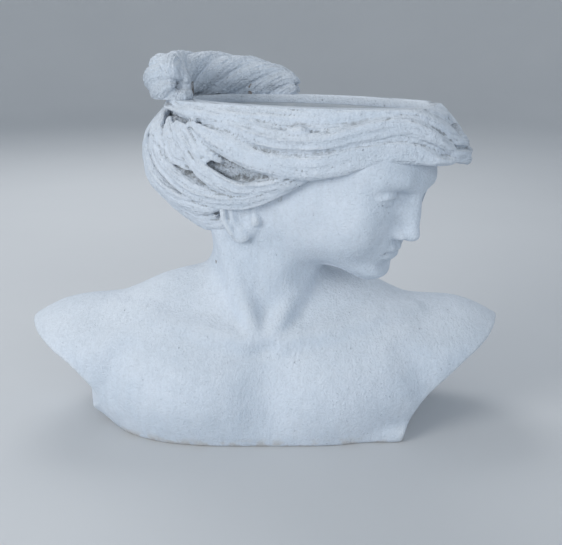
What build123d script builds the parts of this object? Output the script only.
"""Life-size garden bust with a planting pocket in the head, built up from cast sections.

The chest faces -Y, +X is to the viewer's right and +Z is up. The origin is on the ground,
under the middle of the overall box. The head is turned towards +X and looks slightly down.
All sizes are in millimetres.
"""

import os
from math import cos, radians, sin

from build123d import *

# Overall
SHOULDER_TIP_X = 303.0
CHEST_HALF_DEPTH = 117.0
NECK_JOINT_Z = 192.0
RIM_Z = 404.0
MORTAR = 2.0
CASTING_WALL = 17.0
NECK_WALL = 24.0

# The head turns about an upright line through HEAD_CENTRE
HEAD_CENTRE = (15.0, 4.0)
HEAD_TURN = 68.0

# Drain line, down through the neck
DRAIN_X, DRAIN_Y = 5.0, 0.0
TUBE_R = 11.0
TUBE_BORE_R = 8.5
TUBE_LOW_Z = 2.0
FLANGE_R = 18.0
FLANGE_THICK = 2.5
WASHER_THICK = 1.5
NUT_ACROSS = 34.0
NUT_THICK = 8.0
RUNNING_GAP = 0.05

# Planting pocket and its liner
LEDGE_Z = 392.0
POCKET_FLOOR_Z = 276.0
POCKET_FLOOR_THICK = 14.0
POCKET_CENTRE_F = 36.0
RIM_OPENING = (146.0, 64.0)
POCKET_TOP = (138.0, 56.0)
POCKET_FLOOR = (88.0, 40.0)
LINER_GAP = 1.5
LINER_WALL = 3.0
LINER_FLOOR_Z = POCKET_FLOOR_Z + 6.0
PLUG_R = 8.0
PLUG_CAP_R = 13.0

# Underside
FLOOR_FLANGE = 25.0
CORE_HOLE = (140.0, 52.0)
PLATE = (154.0, 66.0)
PLATE_THICK = 6.0
PLATE_RECESS = 2.0
PLATE_FIT = 0.75
SCREW_R = 2.5
SCREW_HEAD_R = 4.6
SCREW_LENGTH = 20.0
SCREW_ORBIT = (147.0, 59.0)
SCREW_COUNT = 6
ANCHOR_R = 4.0
ANCHOR_LENGTH = 15.0

# Dowels
NECK_DOWEL_R = 5.0
NECK_DOWEL_HALF = 20.0
NECK_DOWEL_ORBIT = (62.5, 52.5)
NECK_DOWEL_ANGLES = (90.0, 210.0, 330.0)
BUN_DOWEL_R = 4.0
BUN_DOWEL_HALF = 18.0
BUN_DOWEL_ANGLES = (130.0, 178.0)
DOWEL_INSET = 9.0

# Shoulder stations, each one (x, centre y, centre z, half depth, half height)
SHOULDER_STATIONS = [
    (-318.0, 10.0, 80.0, 46.0, 40.0),
    (-268.0, 8.0, 86.0, 68.0, 55.0),
    (-215.0, 4.0, 78.0, 88.0, 76.0),
    (-155.0, 0.0, 58.0, 106.0, 110.0),
    (-80.0, 0.0, 40.0, CHEST_HALF_DEPTH, 137.0),
    (0.0, 0.0, 40.0, CHEST_HALF_DEPTH - 3.0, 130.0),
    (80.0, 0.0, 40.0, CHEST_HALF_DEPTH, 134.0),
    (155.0, 0.0, 58.0, 106.0, 106.0),
    (215.0, 4.0, 78.0, 88.0, 73.0),
    (268.0, 8.0, 86.0, 68.0, 53.0),
    (318.0, 10.0, 80.0, 46.0, 38.0),
]
HOLLOW_REACH = 230.0
# Right-hand arm cut seen from the front, each point (x, z) from the ground to the shoulder tip
ARM_CUT = [(222.0, 0.0), (243.0, 27.0), (266.0, 50.0), (290.0, 88.0), (SHOULDER_TIP_X, 123.0)]

# Neck sections, each one (z, centre x, centre y, half width, half depth)
NECK_SECTIONS = [
    (110.0, -2.0, 4.0, 112.0, 82.0),
    (150.0, -4.0, 4.0, 92.0, 74.0),
    (175.0, -4.0, 3.0, 80.0, 68.0),
    (NECK_JOINT_Z, -3.0, 2.0, 74.0, 64.0),
    (225.0, 0.0, 2.0, 68.0, 60.0),
    (270.0, 4.0, 2.0, 70.0, 62.0),
]

# Head sections in the turned frame, each one (z, centre, front length, back length, half width)
FACE_SECTIONS = [
    (199.0, 98.0, 18.0, 30.0, 18.0),
    (208.0, 90.0, 46.0, 52.0, 38.0),
    (228.0, 72.0, 78.0, 76.0, 54.0),
    (255.0, 52.0, 112.0, 100.0, 66.0),
    (285.0, 40.0, 138.0, 115.0, 72.0),
    (315.0, 34.0, 156.0, 120.0, 76.0),
    (345.0, 34.0, 164.0, 120.0, 78.0),
    (380.0, 34.0, 160.0, 120.0, 70.0),
]
HAIR_SECTIONS = [
    (250.0, -30.0, 60.0, 58.0, 52.0),
    (275.0, -12.0, 90.0, 128.0, 76.0),
    (300.0, 0.0, 150.0, 168.0, 88.0),
    (330.0, 10.0, 205.0, 188.0, 94.0),
    (360.0, 20.0, 204.0, 188.0, 95.0),
    (386.0, 28.0, 194.0, 174.0, 88.0),
    (RIM_Z, 34.0, 182.0, 164.0, 80.0),
]
# Lower edge of the hair seen from the side, each point (forward, z)
HAIRLINE = [(235.0, 346.0), (150.0, 350.0), (80.0, 322.0), (22.0, 306.0), (-40.0, 262.0), (-100.0, 246.0)]
# Nose seen from the side, each point (forward, z)
NOSE = [(182.0, 306.0), (189.0, 256.0), (184.0, 250.0), (156.0, 246.0), (150.0, 300.0)]
NOSE_HALF_WIDTH = 12.0
EAR_FORWARD, EAR_Z = -12.0, 280.0
EAR_RADII = (24.0, 9.0, 30.0)
EAR_OUT = 72.0

# Twisted bun on the rim, each station (angle round the rim, half width, centre z, half height)
BUN_STATIONS = [
    (206.0, 12.0, 418.0, 14.0),
    (197.0, 25.0, 424.0, 31.0),
    (176.0, 30.0, 428.0, 32.0),
    (154.0, 27.0, 426.0, 32.0),
    (132.0, 22.0, 419.0, 27.0),
    (110.0, 16.0, 411.0, 18.0),
    (96.0, 9.0, 406.0, 10.0),
]
BUN_OFF_OPENING = 2.5

FORWARD = Vector(sin(radians(HEAD_TURN)), -cos(radians(HEAD_TURN)), 0)
SIDE = Vector(cos(radians(HEAD_TURN)), sin(radians(HEAD_TURN)), 0)


def head_plane(z, forward=0.0):
    """Level plane in the head's turned frame, its x axis pointing forward."""
    base = Vector(*HEAD_CENTRE, z) + FORWARD * forward
    return Plane(origin=base, x_dir=FORWARD, z_dir=(0, 0, 1))


def head_profile_plane():
    """Upright plane through the middle of the head: local x is forward and local y is up."""
    return Plane(origin=Vector(*HEAD_CENTRE, 0), x_dir=FORWARD, z_dir=-SIDE)


def drain_plane(z):
    """Level plane on the drain line."""
    return Plane((DRAIN_X, DRAIN_Y, z))


def loft_head(sections):
    """Solid through level sections of the head, each of two half ellipses that share a width."""
    with BuildPart() as body:
        for z, centre, front, back, half_width in sections:
            with BuildSketch(head_plane(z, centre)):
                with BuildLine():
                    EllipticalCenterArc((0, 0), front, half_width, start_angle=-90, arc_size=180)
                    EllipticalCenterArc((0, 0), back, half_width, start_angle=90, arc_size=180)
                make_face()
        loft()
    return body.part


def loft_neck(shrink, low, high):
    """Solid through the neck sections between two heights, made smaller all round by shrink."""
    with BuildPart() as body:
        for z, x, y, half_width, half_depth in NECK_SECTIONS:
            with BuildSketch(Plane((x, y, z))):
                Ellipse(half_width - shrink, half_depth - shrink)
        loft()
        split(bisect_by=Plane((0, 0, low)), keep=Keep.TOP)
        split(bisect_by=Plane((0, 0, high)), keep=Keep.BOTTOM)
    return body.part


def loft_shoulders(shrink, reach):
    """Solid through the upright shoulder sections within reach of the middle."""
    with BuildPart() as body:
        for x, y, z, half_depth, half_height in SHOULDER_STATIONS:
            if abs(x) < reach:
                with BuildSketch(Plane(origin=(x, y, z), x_dir=(0, 1, 0), z_dir=(1, 0, 0))):
                    Ellipse(half_depth - shrink, half_height - shrink)
        loft()
    return body.part


def loft_ovals(centre_forward, low, low_radii, high, high_radii):
    """Straight-sided oval solid in the head's frame, from one height to another."""
    with BuildPart() as body:
        with BuildSketch(head_plane(low, centre_forward)):
            Ellipse(*low_radii)
        with BuildSketch(head_plane(high, centre_forward)):
            Ellipse(*high_radii)
        loft()
    return body.part


def grown(radii, amount):
    """Both radii of an oval, made larger by amount."""
    return radii[0] + amount, radii[1] + amount


def rim_point(angle, outward, z):
    """Point beside the rim opening, that far outside it, with the outward direction there."""
    along, across = RIM_OPENING
    t = radians(angle)
    normal = Vector(cos(t) / along, sin(t) / across, 0).normalized()
    local = Vector(POCKET_CENTRE_F + along * cos(t), across * sin(t), 0) + normal * outward
    place = Vector(*HEAD_CENTRE, z) + FORWARD * local.X + SIDE * local.Y
    return place, FORWARD * normal.X + SIDE * normal.Y


def neck_dowel_places():
    """Middle of each dowel across the neck joint."""
    along, across = NECK_DOWEL_ORBIT
    _, x, y, _, _ = NECK_SECTIONS[3]
    return [
        (x + along * cos(radians(a)), y + across * sin(radians(a)), NECK_JOINT_Z)
        for a in NECK_DOWEL_ANGLES
    ]


def bun_dowel_places():
    """Middle of each dowel between the rim and the bun."""
    return [rim_point(a, DOWEL_INSET, RIM_Z)[0] for a in BUN_DOWEL_ANGLES]


def dowels(places, radius, half_length):
    """One group of upright dowels."""
    with BuildPart() as group:
        with Locations(*places):
            Cylinder(radius, 2 * half_length)
    return group.part


def screw_places(z):
    """Screw centres round the base plate."""
    along, across = SCREW_ORBIT
    angles = [360 / SCREW_COUNT * i for i in range(SCREW_COUNT)]
    return [(along * cos(radians(a)), across * sin(radians(a)), z) for a in angles]


def shoulder_casting():
    """Hollow chest and shoulders up to the neck joint, with a flange round the underside."""
    neck_foot = NECK_SECTIONS[0][0]
    outside = loft_shoulders(0, 2 * SHOULDER_TIP_X)
    neck = loft_neck(0, neck_foot, NECK_JOINT_Z - MORTAR)
    neck_bore = loft_neck(NECK_WALL, neck_foot, NECK_JOINT_Z)
    inside = loft_shoulders(CASTING_WALL, HOLLOW_REACH)
    dowel_holes = dowels(neck_dowel_places(), NECK_DOWEL_R + RUNNING_GAP, NECK_DOWEL_HALF)
    with BuildPart() as hollow:
        add(inside)
        split(bisect_by=Plane((0, 0, FLOOR_FLANGE)), keep=Keep.TOP)
    with BuildPart() as casting:
        add(outside)
        add(neck)
        with BuildSketch(Plane.XZ):
            with BuildLine():
                right = Spline(*ARM_CUT)
                left = Spline(*[(-x, z) for x, z in ARM_CUT])
                over = 2 * SHOULDER_TIP_X
                Polyline(right @ 1, (SHOULDER_TIP_X, over), (-SHOULDER_TIP_X, over), left @ 1)
                Line(left @ 0, right @ 0)
            make_face()
        extrude(amount=2 * CHEST_HALF_DEPTH, both=True, mode=Mode.INTERSECT)
        add([hollow.part, neck_bore], mode=Mode.SUBTRACT)
        with BuildSketch():
            Ellipse(*CORE_HOLE)
        extrude(amount=FLOOR_FLANGE + MORTAR, mode=Mode.SUBTRACT)
        with BuildSketch():
            Ellipse(*grown(PLATE, PLATE_FIT))
        extrude(amount=PLATE_RECESS + PLATE_THICK, mode=Mode.SUBTRACT)
        with Locations(*screw_places(PLATE_RECESS + PLATE_THICK)):
            Cylinder(
                ANCHOR_R + RUNNING_GAP,
                ANCHOR_LENGTH,
                align=(Align.CENTER, Align.CENTER, Align.MIN),
                mode=Mode.SUBTRACT,
            )
        add(dowel_holes, mode=Mode.SUBTRACT)
    return casting.part


def neck_mortar():
    """Bed of mortar in the neck joint."""
    _, x, y, half_width, half_depth = NECK_SECTIONS[3]
    dowel_holes = dowels(neck_dowel_places(), NECK_DOWEL_R + RUNNING_GAP, NECK_DOWEL_HALF)
    with BuildPart() as bed:
        with BuildSketch(Plane((x, y, NECK_JOINT_Z - MORTAR))):
            Ellipse(half_width - MORTAR, half_depth - MORTAR)
            Ellipse(half_width - NECK_WALL, half_depth - NECK_WALL, mode=Mode.SUBTRACT)
        extrude(amount=MORTAR)
        add(dowel_holes, mode=Mode.SUBTRACT)
    return bed.part


def hair_mass():
    """Hair round the head, with its lower edge swept down from the brow to the nape."""
    whole = loft_head(HAIR_SECTIONS)
    with BuildPart() as hair:
        add(whole)
        with BuildSketch(head_profile_plane()):
            with BuildLine():
                edge = Spline(*HAIRLINE)
                front, back = HAIRLINE[0][0], -2 * HAIRLINE[0][0]
                over = RIM_Z + CASTING_WALL
                Polyline(edge @ 1, (back, HAIRLINE[-1][1]), (back, over), (front, over), edge @ 0)
            make_face()
        extrude(amount=2 * CHEST_HALF_DEPTH, both=True, mode=Mode.INTERSECT)
    return hair.part


def nose():
    """Plain wedge for the nose."""
    with BuildPart() as wedge:
        with BuildSketch(head_profile_plane()):
            with BuildLine():
                Polyline(*NOSE, close=True)
            make_face()
        extrude(amount=NOSE_HALF_WIDTH, both=True)
    return wedge.part


def ear(side):
    """Plain oval for one ear, on the far side of the head or, with -1, the near one."""
    place = Vector(*HEAD_CENTRE, EAR_Z) + FORWARD * EAR_FORWARD + SIDE * (side * EAR_OUT)
    oval = scale(Sphere(1, mode=Mode.PRIVATE), by=EAR_RADII, mode=Mode.PRIVATE)
    return Plane(origin=place, x_dir=FORWARD, z_dir=(0, 0, 1)) * oval


def head_casting():
    """Head and upper neck, open at the rim round the planting pocket."""
    under_floor = POCKET_FLOOR_Z - POCKET_FLOOR_THICK
    face = loft_head(FACE_SECTIONS)
    neck = loft_neck(0, NECK_JOINT_Z, NECK_SECTIONS[-1][0])
    neck_bore = loft_neck(NECK_WALL, NECK_JOINT_Z - MORTAR, under_floor)
    additions = [neck, hair_mass(), nose(), ear(1), ear(-1)]
    pocket = loft_ovals(POCKET_CENTRE_F, POCKET_FLOOR_Z, POCKET_FLOOR, LEDGE_Z, POCKET_TOP)
    neck_holes = dowels(neck_dowel_places(), NECK_DOWEL_R + RUNNING_GAP, NECK_DOWEL_HALF)
    bun_holes = dowels(bun_dowel_places(), BUN_DOWEL_R + RUNNING_GAP, BUN_DOWEL_HALF)
    with BuildPart() as casting:
        add(face)
        add(additions)
        with BuildSketch(head_plane(LEDGE_Z, POCKET_CENTRE_F)):
            Ellipse(*RIM_OPENING)
        extrude(amount=2 * (RIM_Z - LEDGE_Z), mode=Mode.SUBTRACT)
        add([pocket, neck_bore], mode=Mode.SUBTRACT)
        with Locations(drain_plane(under_floor)):
            Cylinder(TUBE_R + 1, 4 * POCKET_FLOOR_THICK, mode=Mode.SUBTRACT)
        add([neck_holes, bun_holes], mode=Mode.SUBTRACT)
    return casting.part


def bun_body():
    """Whole twist of hair, before it is bedded on the rim."""
    with BuildPart() as body:
        for angle, half_width, z, half_height in BUN_STATIONS:
            place, outward = rim_point(angle, half_width + BUN_OFF_OPENING, z)
            along = outward.cross(Vector(0, 0, 1))
            with BuildSketch(Plane(origin=place, x_dir=outward, z_dir=along)):
                Ellipse(half_width, half_height)
        loft()
    return body.part


def hair_bun():
    """Twisted bun that stands on the back of the rim."""
    twist = bun_body()
    dowel_holes = dowels(bun_dowel_places(), BUN_DOWEL_R + RUNNING_GAP, BUN_DOWEL_HALF)
    with BuildPart() as bun:
        add(twist)
        split(bisect_by=Plane((0, 0, RIM_Z + MORTAR)), keep=Keep.TOP)
        add(dowel_holes, mode=Mode.SUBTRACT)
    return bun.part


def bun_mortar():
    """Bed of mortar between the rim and the bun."""
    _, rim_centre, rim_front, rim_back, rim_half_width = HAIR_SECTIONS[-1]
    twist = bun_body()
    dowel_holes = dowels(bun_dowel_places(), BUN_DOWEL_R + RUNNING_GAP, BUN_DOWEL_HALF)
    with BuildPart() as bed:
        with BuildSketch(head_plane(RIM_Z, rim_centre)):
            with BuildLine():
                front, back, half_width = [r - MORTAR for r in (rim_front, rim_back, rim_half_width)]
                EllipticalCenterArc((0, 0), front, half_width, start_angle=-90, arc_size=180)
                EllipticalCenterArc((0, 0), back, half_width, start_angle=90, arc_size=180)
            make_face()
        extrude(amount=MORTAR)
        with BuildSketch(head_plane(RIM_Z, POCKET_CENTRE_F)):
            Ellipse(*grown(RIM_OPENING, MORTAR))
        extrude(amount=MORTAR, mode=Mode.SUBTRACT)
        add(twist, mode=Mode.INTERSECT)
        add(dowel_holes, mode=Mode.SUBTRACT)
    return bed.part


def drain_tail():
    """Flanged tube from the pocket floor down to the base."""
    under_flange = POCKET_FLOOR_Z + WASHER_THICK
    with BuildPart() as tail:
        with BuildSketch(drain_plane(TUBE_LOW_Z)):
            Circle(TUBE_R)
        extrude(amount=under_flange - TUBE_LOW_Z)
        with BuildSketch(drain_plane(under_flange)):
            Circle(FLANGE_R)
        extrude(amount=FLANGE_THICK)
        with Locations(drain_plane(under_flange)):
            Cylinder(TUBE_BORE_R, 3 * RIM_Z, mode=Mode.SUBTRACT)
    return tail.part


def drain_washer():
    """Soft washer under the flange of the drain tail."""
    with BuildPart() as washer:
        with BuildSketch(drain_plane(POCKET_FLOOR_Z)):
            Circle(FLANGE_R)
            Circle(TUBE_R + RUNNING_GAP, mode=Mode.SUBTRACT)
        extrude(amount=WASHER_THICK)
    return washer.part


def drain_backnut():
    """Hexagon nut that clamps the drain tail under the pocket floor."""
    with BuildPart() as nut:
        with BuildSketch(drain_plane(POCKET_FLOOR_Z - POCKET_FLOOR_THICK)):
            RegularPolygon(NUT_ACROSS / 2, 6, major_radius=False)
            Circle(TUBE_R + RUNNING_GAP, mode=Mode.SUBTRACT)
        extrude(amount=-NUT_THICK)
    return nut.part


def planting_liner():
    """Lift-out oval liner, which hangs by its lip from the ledge inside the rim."""
    floor_top = LINER_FLOOR_Z + LINER_WALL
    lip_top = LEDGE_Z + LINER_WALL
    outer_low = grown(POCKET_FLOOR, -LINER_GAP)
    outer_high = grown(POCKET_TOP, -LINER_GAP)
    inner_low = grown(outer_low, -LINER_WALL)
    inner_high = grown(outer_high, -LINER_WALL)
    outside = loft_ovals(POCKET_CENTRE_F, LINER_FLOOR_Z, outer_low, LEDGE_Z, outer_high)
    inside = loft_ovals(POCKET_CENTRE_F, floor_top, inner_low, lip_top, inner_high)
    with BuildPart() as liner:
        add(outside)
        with BuildSketch(head_plane(LEDGE_Z, POCKET_CENTRE_F)):
            Ellipse(*grown(RIM_OPENING, -LINER_GAP))
        extrude(amount=LINER_WALL)
        add(inside, mode=Mode.SUBTRACT)
        with Locations(drain_plane(LINER_FLOOR_Z)):
            Cylinder(PLUG_R + 2 * RUNNING_GAP, 4 * LINER_WALL, mode=Mode.SUBTRACT)
    return liner.part


def liner_plug():
    """Soft plug in the floor of the liner, with a cap to lift it by."""
    floor_top = LINER_FLOOR_Z + LINER_WALL
    with BuildPart() as plug:
        with BuildSketch(drain_plane(LINER_FLOOR_Z)):
            Circle(PLUG_R)
        extrude(amount=LINER_WALL)
        with BuildSketch(drain_plane(floor_top)):
            Circle(PLUG_CAP_R)
        extrude(amount=LINER_WALL)
        with BuildSketch(drain_plane(floor_top + LINER_WALL)):
            Circle(PLUG_R / 2)
        extrude(amount=2 * LINER_WALL)
        fillet(plug.edges().group_by(Axis.Z)[-1], 1.0)
    return plug.part


def base_plate():
    """Oval plate that closes the underside, with a hole for the drain outlet."""
    with BuildPart() as plate:
        with BuildSketch(Plane.XY.offset(PLATE_RECESS)):
            Ellipse(*PLATE)
        extrude(amount=PLATE_THICK)
        with Locations(drain_plane(PLATE_RECESS)):
            Cylinder(TUBE_R + LINER_WALL, 4 * PLATE_THICK, mode=Mode.SUBTRACT)
        under = [Plane(origin=place, z_dir=(0, 0, -1)) for place in screw_places(PLATE_RECESS)]
        with Locations(*under):
            CounterSinkHole(SCREW_R + 0.2, SCREW_HEAD_R + 0.2, depth=PLATE_THICK)
    return plate.part


def base_grommet():
    """Soft ring that seals the drain tail in the base plate."""
    with BuildPart() as ring:
        with BuildSketch(drain_plane(PLATE_RECESS)):
            Circle(TUBE_R + LINER_WALL)
        extrude(amount=PLATE_THICK)
        with BuildSketch(drain_plane(PLATE_RECESS + PLATE_THICK)):
            Circle(TUBE_R + 2 * LINER_WALL)
        extrude(amount=MORTAR)
        with Locations(drain_plane(PLATE_RECESS)):
            Cylinder(TUBE_R + RUNNING_GAP, 4 * PLATE_THICK, mode=Mode.SUBTRACT)
    return ring.part


def base_screws():
    """Countersunk screws through the base plate."""
    under = [Plane(origin=place, z_dir=(0, 0, 1)) for place in screw_places(PLATE_RECESS)]
    up = (Align.CENTER, Align.CENTER, Align.MIN)
    head_height = SCREW_HEAD_R - SCREW_R
    with BuildPart() as group:
        with Locations(*under):
            Cylinder(SCREW_R, SCREW_LENGTH, align=up)
            Cone(SCREW_HEAD_R, SCREW_R, head_height, align=up)
    return group.part


def screw_anchors():
    """Sleeves set in the underside flange, which take the base screws."""
    with BuildPart() as group:
        with BuildSketch(Plane.XY.offset(PLATE_RECESS + PLATE_THICK)):
            with Locations(*[place[:2] for place in screw_places(0)]):
                Circle(ANCHOR_R)
                Circle(SCREW_R + RUNNING_GAP, mode=Mode.SUBTRACT)
        extrude(amount=ANCHOR_LENGTH)
    return group.part


def export_named(part, name):
    """Labels one sub-part and writes it as its own STEP file."""
    part.label = name
    export_step(part, f"parts/{name}.step")


def main():
    """Builds and writes every sub-part."""
    os.makedirs("parts", exist_ok=True)
    makers = (
        shoulder_casting,
        head_casting,
        hair_bun,
        neck_mortar,
        bun_mortar,
        drain_tail,
        drain_washer,
        drain_backnut,
        planting_liner,
        liner_plug,
        base_plate,
        base_grommet,
        base_screws,
        screw_anchors,
    )
    for make in makers:
        export_named(make(), make.__name__)
    export_named(dowels(neck_dowel_places(), NECK_DOWEL_R, NECK_DOWEL_HALF), "neck_dowels")
    export_named(dowels(bun_dowel_places(), BUN_DOWEL_R, BUN_DOWEL_HALF), "bun_dowels")


if __name__ == "__main__":
    main()
